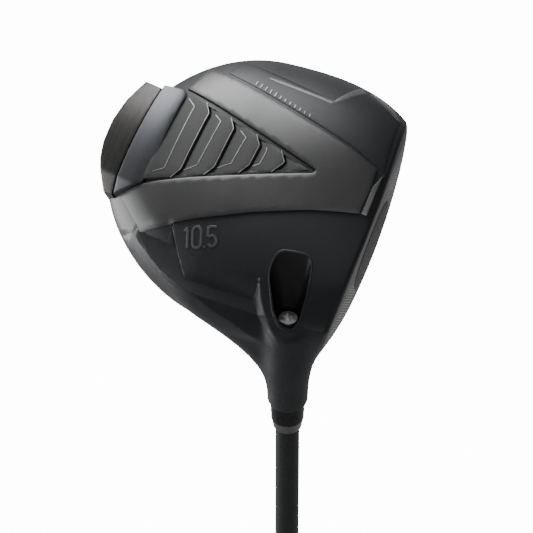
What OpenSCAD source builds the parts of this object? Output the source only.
/* [Club] */
// Length along the shaft axis from the flat of the grip cap to the ground point of that axis
club_length = 1156; // [1080:1:1220]
// Lie angle between the shaft axis and the ground at address, degrees
lie = 59; // [56:0.5:62]
// Loft angle of the face, degrees
loft = 10.5; // [9:0.5:12]

/* [Head shell] */
// Widest point of the head, measured toward the toe from the shaft axis
centre_h = 29.5; // [28:0.5:31]
// Widest point of the head, measured toward the face from the shaft axis
centre_f = -35.7; // [-38:0.1:-34]
// Reach of the shell from its widest point to the toe
reach_toe = 56; // [54:0.5:58]
// Reach of the shell from its widest point to the heel
reach_heel = 45.9; // [45:0.1:47]
// Reach of the shell from its widest point to the trailing edge
reach_back = 54.4; // [53:0.1:56]
// Reach of the uncut shell from its widest point toward the face
reach_front = 69.2; // [68:0.1:71]
// Height of the crown above the belt line
crown_rise = 33; // [31:0.5:35]
// Depth of the sole below the belt line
sole_drop = 23; // [22:0.5:24]
// Height of the belt line at the leading edge
belt_height = 22.2; // [21.5:0.1:23]
// Thickness of each bonded panel
panel_t = 0.9; // [0.8:0.05:1]
// Thickness of the titanium under the panels
ledge_t = 0.6; // [0.5:0.05:0.9]
// Height of the satin sole band above the sole
band_raise = 0.8; // [0.5:0.1:1]
// Bulge and roll radius of the face
face_radius = 320; // [280:5:360]
// Thickness of the face plate
face_t = 3; // [2.6:0.1:3.2]

/* [Hosel] */
// Diameter of the hosel at its mouth
hosel_d = 13.9; // [13.8:0.1:14.2]
// Distance of the hosel mouth from the ground point of the axis
hosel_reach = 62; // [61.5:0.5:63]
// Depth of the sleeve bore below the hosel mouth
bore_depth = 32; // [31:0.5:33]
// Diameter of the sleeve bore
bore_d = 11; // [10.9:0.05:11.1]
// Number of index tabs around the sleeve, which sets the angle of one step
index_count = 8; // [6:1:8]
// Running clearance on the radius between the sleeve and the head
run_gap = 0.05; // [0.03:0.01:0.08]

/* [Hosel screw] */
// Outer diameter of the screw thread
thread_d = 5; // [4.8:0.1:5.2]
// Diameter of the screw head
screw_head_d = 7; // [6.8:0.1:7.2]
// Height of the screw head
screw_head_h = 4.6; // [4.2:0.1:4.8]
// Length of the shank under the screw head
shank_length = 16; // [15.5:0.1:16.5]
// Width of the six-lobe drive across two opposite lobes
drive_d = 4.4; // [4.2:0.1:4.6]

/* [Shaft and grip] */
// Diameter of the shaft over its parallel tip
tip_d = 9; // [8.9:0.05:9]
// Length of the parallel tip above the sleeve
tip_parallel = 75; // [60:1:100]
// Diameter of the shaft at the butt
butt_d = 15.2; // [15:0.1:15.5]
// Wall of the shaft at the butt
butt_wall = 0.85; // [0.8:0.05:1.2]
// Length of the grip with its cap
grip_length = 268; // [255:1:275]
// Diameter of the grip at its cap
grip_butt_d = 26.5; // [26:0.5:28]
// Diameter of the grip at its mouth
grip_mouth_d = 17; // [16.5:0.5:18]
// Diameter of the vent hole in the grip cap
vent_d = 3.2; // [2.8:0.1:3.6]

/* [Hidden] */

// Facets of the shell: stations around the belt, and rings between the belt and each pole
shell_stations = 64;
shell_rings = 13;
liner_stations = 36;
liner_rings = 8;
round_facets = 96;
fine_facets = 48;
port_facets = 32;

// Exponents of the shell's outline in its four quarters, and of its sole and crown profiles
exp_toe_front = 2.64;
exp_heel_front = 2.7;
exp_toe_back = 2;
exp_heel_back = 1.6;
exp_sole_plan = 2.65;
exp_sole_depth = 1.9;
exp_crown_plan = 2.53;
exp_crown_depth = 2;
belt_slope = 0.078;
belt_front_f = 17;

// The face ball touches this point of the face
face_h = 34;
face_f = 22.7;
face_u = 30;

fit_gap = 0.05;
reach_u = 90;
over = 1;
eps = 0.01;

mouth_z = club_length - hosel_reach;
seat_z = mouth_z + bore_depth;
seat_t = 3.4;
washer_z = seat_z + seat_t;
washer_t = 1.2;
screw_z = washer_z + washer_t;
washer_d = 8.6;
well_d = 9.4;
shank_gap = 0.3;
retainer_t = 1;
retainer_z = seat_z - fit_gap - retainer_t;
sleeve_end_z = retainer_z - 3 * fit_gap;
tap_depth = 12;
tap_land = 0.6;
tip_z = sleeve_end_z - tap_depth;

ring_h = 5;
ring_d = 12.6;
collar_h = 3;
ferrule_h = 4.3;
ferrule_tip_d = 10.7;
ferrule_d = 12.1;
collar_d = 12.3;
tab_h = 1.6;
tab_root_w = 2.4;
tab_end_w = 1.6;
tab_gap = 0.12;
ring_z = mouth_z - ring_h;
collar_z = ring_z - collar_h;
ferrule_z = collar_z - ferrule_h;
sleeve_d = bore_d - 2 * run_gap;

butt_z = 4;
tape_t = 0.15;
skin_gap = 0.02;
tip_bore_d = 5.4;
plug_length = 10;
tape_start_z = butt_z + 2;
tape_end_gap = 4;
cap_h = 6;

// Places a child drawn in head coordinates: x toward the toe, y toward the face, z up at address
module in_head() {
    translate([0, 0, club_length]) rotate([180, lie - 90, 90]) children();
}

// One quarter-wise super-ellipse outline point at angle a, drawn in by d
function outline_point(a, d) =
    let (x = cos(a), y = sin(a),
         n = x >= 0 ? (y >= 0 ? exp_toe_front : exp_toe_back) : (y >= 0 ? exp_heel_front : exp_heel_back),
         half_h = (x >= 0 ? reach_toe : reach_heel) - d,
         half_f = (y >= 0 ? reach_front : reach_back) - d)
    [sign(x) * half_h * pow(abs(x), 2 / n), sign(y) * half_f * pow(abs(y), 2 / n)];

function belt_u(f) = belt_height + belt_slope * (belt_front_f - f);

// One shell point: angle a around the belt, latitude v from -90 at the sole to 90 at the crown
function shell_point(a, v, d) =
    let (crown = v >= 0,
         plan = pow(cos(v), 2 / (crown ? exp_crown_plan : exp_sole_plan)),
         depth = pow(abs(sin(v)), 2 / (crown ? exp_crown_depth : exp_sole_depth)),
         p = plan * outline_point(a, d),
         f = centre_f + p[1])
    [centre_h + p[0], f, belt_u(f) + (crown ? crown_rise - d : d - sole_drop) * depth];

// Closed solid of the shell drawn in by d, from latitude v0 to v1
module shell_solid(d, v0, v1, stations, rings) {
    bottom_pole = v0 <= -90;
    top_pole = v1 >= 90;
    first = bottom_pole ? 1 : 0;
    last = top_pole ? rings - 1 : rings;
    levels = [for (j = [first : last]) v0 + (v1 - v0) * j / rings];
    count = len(levels);
    wall = [for (v = levels, i = [0 : stations - 1]) shell_point(360 * i / stations, v, d)];
    low = bottom_pole ? shell_point(0, -90, d) : [centre_h, centre_f, belt_u(centre_f)];
    high = top_pole ? shell_point(0, 90, d) : [centre_h, centre_f, belt_u(centre_f)];
    low_index = len(wall);
    high_index = low_index + 1;
    sides = [for (j = [0 : count - 2], i = [0 : stations - 1])
        let (k = (i + 1) % stations, a = j * stations)
        each [[a + i, a + stations + i, a + k], [a + k, a + stations + i, a + stations + k]]];
    base = [for (i = [0 : stations - 1]) [low_index, i, (i + 1) % stations]];
    roof = [for (i = [0 : stations - 1])
        let (a = (count - 1) * stations)
        [high_index, a + (i + 1) % stations, a + i]];
    polyhedron(concat(wall, [low, high]), concat(sides, base, roof));
}

module whole_shell(d) { shell_solid(d, -90, 90, shell_stations, 2 * shell_rings); }
module whole_liner(d) { shell_solid(d, -90, 90, liner_stations, 2 * liner_rings); }
module sole_shell(d) { shell_solid(d, -90, 0, shell_stations, shell_rings); }
module sole_liner(d) { shell_solid(d, -90, 0, liner_stations, liner_rings); }
module crown_shell(d) { shell_solid(d, 0, 90, shell_stations, shell_rings); }

// Ball whose front surface is the face, drawn in by d
module face_ball(d) {
    centre_back = face_f - face_u * tan(loft) - face_radius * cos(loft);
    translate([face_h, centre_back, face_u - face_radius * sin(loft)])
        rotate([-90, 0, 0])
            sphere(r = face_radius - d, $fn = round_facets);
}

// Upright prism over an outline, from height u0 up
module prism(outline, u0 = -reach_u, u1 = reach_u) {
    translate([0, 0, u0])
        linear_extrude(u1 - u0)
            polygon(outline);
}

function between(a, b, t) = a + (b - a) * t;

// Outline moved outward from its own centre by about d
function middle(p) = [for (k = [0, 1]) (max([for (q = p) q[k]]) + min([for (q = p) q[k]])) / 2];
function grown(p, d) = let (c = middle(p)) [for (q = p) q + d * (q - c) / norm(q - c)];

// Outlines in plan, as [toward toe, toward face] from the shaft axis
insert_outline = [[40.3, -6], [21, -68], [60.3, -66]];
trim_outline = [[60.2, -65.6], [21, -68.2], [14.8, -80.1], [60.3, -74.8]];
weight_front = [[58.6, -75.2], [14.4, -80.5]];
weight_heel_h = 15;
weight_toe_h = 60.5;
weight_rear_f = -84;
weight_bow = 25.6;
function weight_rear(s) =
    [between(weight_heel_h, weight_toe_h, s), weight_rear_f - weight_bow * s * (1 - s)];
weight_outline = concat(weight_front, [for (s = [0 : 0.125 : 1]) weight_rear(s)]);
band_outline = [[-2, -76], [2.6, -66], [11, -44.3], [18.9, -22.7], [25.8, -1.6], [31, 24],
                [49, 24], [57.4, -10.4], [69.8, -51.1], [72, -62], [60.6, -66.2], [20.8, -68.2], [14, -78]];
rim_scale = 0.93;
toe_front_f = 12;
crown_front_f = 6;
function rim_point(a, front_f) =
    let (p = outline_point(a, 0) * rim_scale) [centre_h + p[0], min(centre_f + p[1], front_f)];
toe_outline = concat([[50.6, toe_front_f], [58.4, -10.4], [70.6, -48]],
    [for (a = [-14 : 8 : 66]) rim_point(a, toe_front_f)]);
heel_outline = [[4.4, -61], [10.2, -44.3], [18.1, -22.7], [20, -15], [0, -14.5], [-9, -18], [-9, -34],
                [-3, -48]];
heel_land_outline = [[6.6, -48], [14.6, -27.5], [16, -17], [2, -17], [-5, -20], [-6, -38]];
crown_outline = [for (a = [0 : 7.5 : 352.5]) rim_point(a, crown_front_f)];

// Chevron grooves across the insert, each from its toe edge to its heel edge
groove_w = 1;
groove_over = 2;
groove_depth = 0.5;
groove_bend = [4, 5.5];
groove_places = [0.18, 0.37, 0.56, 0.75];

module groove_prism(t) {
    toe_end = between(insert_outline[2], insert_outline[0], t);
    heel_end = between(insert_outline[1], insert_outline[0], t);
    bend = groove_bend * (1 - t);
    line = [toe_end + [groove_over, -groove_over], toe_end + [-bend[0], bend[1]], heel_end + bend,
            heel_end - [groove_over, groove_over]];
    prism(concat(line, [for (i = [3 : -1 : 0]) line[i] + [0, groove_w]]));
}

// Plan of the face plate, as [toward toe, up]
face_half = [34, 16.6];
face_mid_u = 26.6;
face_exp = 2.4;
face_outline = [for (a = [0 : 9 : 351])
    [face_h + sign(cos(a)) * face_half[0] * pow(abs(cos(a)), 2 / face_exp),
     face_mid_u + sign(sin(a)) * face_half[1] * pow(abs(sin(a)), 2 / face_exp)]];
face_back_f = -5;
face_run = 60;

// Prism over the face plate's outline, running toward the face
module face_prism(d) {
    translate([0, face_back_f + face_run, 0])
        rotate([90, 0, 0])
            linear_extrude(face_run)
                polygon(grown(face_outline, d));
}

// Neck of the head around the shaft axis: a hosel cylinder that flares into the heel
neck_start = 13;
neck_slope = 0.45;
neck_fillet = 7;
neck_end = 50;
neck_step = 5;
function neck_r(s) =
    let (w = s - neck_start, soft = (w + sqrt(w * w + neck_fillet * neck_fillet)) / 2)
    hosel_d / 2 + neck_slope * soft - neck_slope * neck_fillet * neck_fillet / (4 * neck_start);

module neck_cone(d = 0) {
    side = [for (s = [0 : neck_step : neck_end]) [neck_r(s) + d, s]];
    translate([0, 0, mouth_z])
        rotate_extrude($fn = round_facets)
            polygon(concat([[0, 0]], side, [[0, neck_end]]));
}

// Large ball whose lower side trims the heel flare to the sole
sole_ball_r = 97;
sole_ball_low = [-15, 2.3];
module sole_ball() {
    translate([centre_h, sole_ball_low[0], sole_ball_low[1] + sole_ball_r])
        sphere(r = sole_ball_r, $fn = round_facets);
}

module neck_solid(d = 0) {
    intersection() {
        neck_cone(d);
        in_head() face_ball(-d);
        in_head() sole_ball();
    }
}

// Upright cylinder about the shaft axis between two heights
module axis_rod(d, z0, z1, fn = fine_facets) {
    translate([0, 0, z0]) cylinder(d = d, h = z1 - z0, $fn = fn);
}

module axis_cone(d0, d1, z0, z1, fn = round_facets) {
    translate([0, 0, z0]) cylinder(d1 = d0, d2 = d1, h = z1 - z0, $fn = fn);
}

// The port that opens the sole over the screw, widest toward the toe
port_r = 4.9;
port_top_r = 7;
port_lean = 3;
port_shift = -1.4;
port_foot_r = 4;
port_foot = 16;
module port_space(d = 0) {
    z0 = club_length - port_foot - d;
    z1 = club_length + port_foot;
    hull() {
        axis_rod(2 * (port_r + d), screw_z - d, z1, port_facets);
        translate([port_shift, port_lean, 0])
            axis_cone(2 * (port_foot_r + d), 2 * (port_top_r + d), z0, z1, port_facets);
    }
}

// Tapered tabs about the axis, root at z0 and pointing up
module tab_ring(z0, grow = 0) {
    root = tab_root_w / 2 + grow;
    end = tab_end_w / 2 + grow;
    z1 = z0 + tab_h + grow;
    intersection() {
        difference() {
            axis_rod(ring_d + 2 * grow, z0 - eps, z1);
            axis_rod(bore_d - 2 * grow, z0 - over, z0 + tab_h + over);
        }
        for (i = [0 : index_count - 1])
            rotate([90, 0, 360 * i / index_count])
                linear_extrude(ring_d)
                    polygon([[-root, z0 - 2 * eps], [root, z0 - 2 * eps], [end, z1], [-end, z1]]);
    }
}

// Large ball whose lower side rounds the trim and the weight
rear_ball_r = 70;
rear_ball_centre = [38, -60, 76];
ball_facets = 160;
block_top_u = 25.5;

module rear_ball() {
    translate(rear_ball_centre) sphere(r = rear_ball_r, $fn = ball_facets);
}

sole_top_u = 20;
crown_base_u = 30;
ledge_w = 4;
wall_t = panel_t + ledge_t;
well_wall = 1.3;

module sole_prism(outline, d = 0) { prism(grown(outline, d), -reach_u / 3, sole_top_u); }
module crown_prism(d = 0) { prism(grown(crown_outline, d), crown_base_u); }

// Recesses for the bonded panels, down to the ledge they rest on
module panel_recesses() {
    difference() {
        union() {
            sole_prism(toe_outline, fit_gap);
            sole_prism(heel_outline, fit_gap);
            sole_prism(insert_outline, fit_gap);
            crown_prism(fit_gap);
        }
        whole_liner(panel_t + fit_gap);
    }
    difference() {
        face_prism(fit_gap);
        face_ball(face_t + fit_gap);
    }
}

// Openings left in the titanium under the panels and behind the face plate
module windows() {
    sole_prism(toe_outline, -ledge_w);
    sole_prism(heel_outline, -ledge_w);
    crown_prism(-ledge_w);
    face_prism(-ledge_w);
}

module titanium_shell() {
    difference() {
        intersection() {
            union() {
                whole_shell(0);
                intersection() {
                    sole_shell(-band_raise);
                    prism(band_outline);
                }
            }
            face_ball(0);
        }
        intersection() {
            whole_liner(wall_t);
            face_ball(face_t + ledge_t);
        }
        panel_recesses();
        windows();
    }
}

module head_body() {
    color([0.16, 0.17, 0.18])
    difference() {
        union() {
            in_head() titanium_shell();
            difference() {
                neck_solid();
                in_head() whole_liner(wall_t);
            }
            axis_rod(hosel_d, mouth_z, washer_z, round_facets);
            intersection() {
                union() {
                    axis_rod(well_d + 2 * well_wall, washer_z - eps, club_length, round_facets);
                    port_space(well_wall);
                }
                in_head() whole_liner(panel_t);
            }
        }
        axis_rod(bore_d, mouth_z - over, seat_z);
        axis_rod(thread_d + 2 * shank_gap, seat_z - over, washer_z + over);
        axis_rod(well_d, washer_z, club_length + port_foot);
        port_space();
        tab_ring(mouth_z, tab_gap);
    }
}

module face_plate() {
    color([0.36, 0.34, 0.32])
    in_head() difference() {
        intersection() {
            face_ball(0);
            face_prism(0);
        }
        face_ball(face_t);
    }
}

module crown_panel() {
    color([0.1, 0.1, 0.11])
    difference() {
        in_head() difference() {
            intersection() {
                crown_shell(0);
                crown_prism();
                face_ball(0);
            }
            whole_liner(panel_t);
        }
        neck_cone(fit_gap);
    }
}

module sole_panel(outline) {
    difference() {
        intersection() {
            sole_shell(0);
            sole_prism(outline);
        }
        sole_liner(panel_t);
    }
}

module toe_sole_panel() {
    color([0.27, 0.28, 0.29])
    in_head() sole_panel(toe_outline);
}

// The number plate stands above the rest of the heel panel
land_raise = 0.6;
module heel_sole_panel() {
    color([0.12, 0.13, 0.14])
    difference() {
        in_head() difference() {
            union() {
                intersection() {
                    sole_shell(0);
                    sole_prism(heel_outline);
                }
                intersection() {
                    sole_shell(-land_raise);
                    sole_prism(heel_land_outline);
                }
            }
            sole_liner(panel_t);
        }
        neck_cone(fit_gap);
    }
}

module chevron_insert() {
    color([0.24, 0.25, 0.25])
    in_head() difference() {
        sole_panel(insert_outline);
        difference() {
            for (t = groove_places) groove_prism(t);
            sole_liner(groove_depth);
        }
    }
}

module rear_block(outline) {
    in_head() difference() {
        intersection() {
            prism(outline, 0, block_top_u);
            rear_ball();
        }
        sole_shell(-band_raise - fit_gap);
    }
}

module rear_trim() {
    color([0.42, 0.43, 0.46])
    rear_block(trim_outline);
}

module rear_weight() {
    color([0.2, 0.2, 0.2])
    rear_block(weight_outline);
}

// Ring about the shaft axis
module axis_ring(d_out, d_in, z0, z1) {
    difference() {
        axis_rod(d_out, z0, z1, round_facets);
        axis_rod(d_in, z0 - over, z1 + over, round_facets);
    }
}

module screw_retainer() {
    color([0.85, 0.85, 0.8])
    axis_ring(bore_d - 2 * fit_gap, thread_d + 2 * fit_gap, retainer_z, retainer_z + retainer_t);
}

module thrust_washer() {
    color([0.6, 0.6, 0.62])
    axis_ring(washer_d, thread_d + 2 * fit_gap, washer_z + fit_gap, screw_z - fit_gap);
}

drive_depth = 2.6;
lobe_d = 1.1;
module hosel_screw() {
    color([0.78, 0.79, 0.8])
    difference() {
        union() {
            axis_rod(screw_head_d, screw_z, screw_z + screw_head_h, round_facets);
            axis_rod(thread_d, screw_z - shank_length, screw_z + eps);
        }
        translate([0, 0, screw_z + screw_head_h - drive_depth]) {
            cylinder(d = drive_d - lobe_d, h = drive_depth + over, $fn = fine_facets);
            for (a = [0 : 60 : 300])
                rotate(a)
                    translate([(drive_d - lobe_d) / 2, 0, 0])
                        cylinder(d = lobe_d, h = drive_depth + over, $fn = fine_facets);
        }
    }
}

module index_ring() {
    color([0.07, 0.07, 0.08])
    union() {
        difference() {
            axis_rod(ring_d, ring_z, mouth_z, round_facets);
            axis_rod(bore_d, ring_z - over, mouth_z + over);
            tab_ring(ring_z, tab_gap);
        }
        tab_ring(mouth_z);
    }
}

module hosel_sleeve() {
    color([0.09, 0.09, 0.1])
    difference() {
        union() {
            axis_rod(sleeve_d, collar_z + eps, sleeve_end_z, round_facets);
            axis_rod(collar_d, collar_z, ring_z, round_facets);
            tab_ring(ring_z);
        }
        axis_rod(tip_d + 2 * skin_gap, collar_z - over, tip_z + skin_gap, round_facets);
        axis_rod(thread_d + 2 * fit_gap, tip_z + tap_land, sleeve_end_z + over);
    }
}

module ferrule() {
    color([0.05, 0.05, 0.06])
    difference() {
        axis_cone(ferrule_tip_d, ferrule_d, ferrule_z, collar_z - skin_gap);
        axis_rod(tip_d + 2 * skin_gap, ferrule_z - over, collar_z + over, round_facets);
    }
}

// Radius of the shaft at height z: a parallel tip, then an even taper to the butt
taper_top = ferrule_z - tip_parallel;
function shaft_r(z) =
    z >= taper_top ? tip_d / 2 : tip_d / 2 + (butt_d - tip_d) / 2 * (taper_top - z) / (taper_top - butt_z);

module shaft() {
    color([0.3, 0.3, 0.31])
    rotate_extrude($fn = round_facets)
        polygon([[butt_d / 2 - butt_wall, butt_z], [butt_d / 2, butt_z], [tip_d / 2, taper_top],
                 [tip_d / 2, tip_z], [tip_bore_d / 2, tip_z], [tip_bore_d / 2, taper_top]]);
}

module tip_plug() {
    color([0.72, 0.6, 0.32])
    axis_rod(tip_bore_d - 2 * skin_gap, tip_z - plug_length, tip_z);
}

// Layer over the shaft between two heights, between two distances from its surface
module shaft_layer(z0, z1, d0, d1) {
    r0 = shaft_r(z0);
    r1 = shaft_r(z1);
    rotate_extrude($fn = round_facets)
        polygon([[r0 + d0, z0], [r0 + d1, z0], [r1 + d1, z1], [r1 + d0, z1]]);
}

module grip_tape() {
    color([0.85, 0.82, 0.7])
    shaft_layer(tape_start_z, grip_length - tape_end_gap, skin_gap, skin_gap + tape_t);
}

skin_d = 2 * skin_gap + tape_t;
grip_curve = 1.25;
grip_stations = 8;
lip_h = 1.5;
lip_in = 0.8;
function grip_r(z) =
    grip_mouth_d / 2 + (grip_butt_d - grip_mouth_d) / 2 * pow((grip_length - z) / grip_length, grip_curve);

module grip() {
    start = cap_h + skin_gap;
    stations = [for (i = [0 : grip_stations - 1]) between(start, grip_length, i / grip_stations)];
    color([0.1, 0.1, 0.1])
    rotate_extrude($fn = round_facets)
        polygon(concat(
            [[shaft_r(start) + skin_d, start]],
            [for (z = stations) [grip_r(z), z]],
            [[grip_mouth_d / 2, grip_length - lip_h], [grip_mouth_d / 2 - lip_in, grip_length],
             [shaft_r(grip_length) + skin_d, grip_length]]));
}

cap_flat_in = 2;
cap_edge = [[0.5, 1], [0, 2.4]];
module grip_cap() {
    color([0.14, 0.14, 0.15])
    rotate_extrude($fn = round_facets)
        polygon(concat(
            [[vent_d / 2, 0], [grip_butt_d / 2 - cap_flat_in, 0]],
            [for (e = cap_edge) [grip_butt_d / 2 - e[0], e[1]]],
            [[grip_r(cap_h), cap_h], [shaft_r(cap_h) + skin_d, cap_h],
             [shaft_r(butt_z) + skin_d, butt_z - skin_gap], [vent_d / 2, butt_z - skin_gap]]));
}

head_body();
face_plate();
crown_panel();
toe_sole_panel();
heel_sole_panel();
chevron_insert();
rear_trim();
rear_weight();
screw_retainer();
thrust_washer();
hosel_screw();
index_ring();
hosel_sleeve();
ferrule();
shaft();
tip_plug();
grip_tape();
grip();
grip_cap();
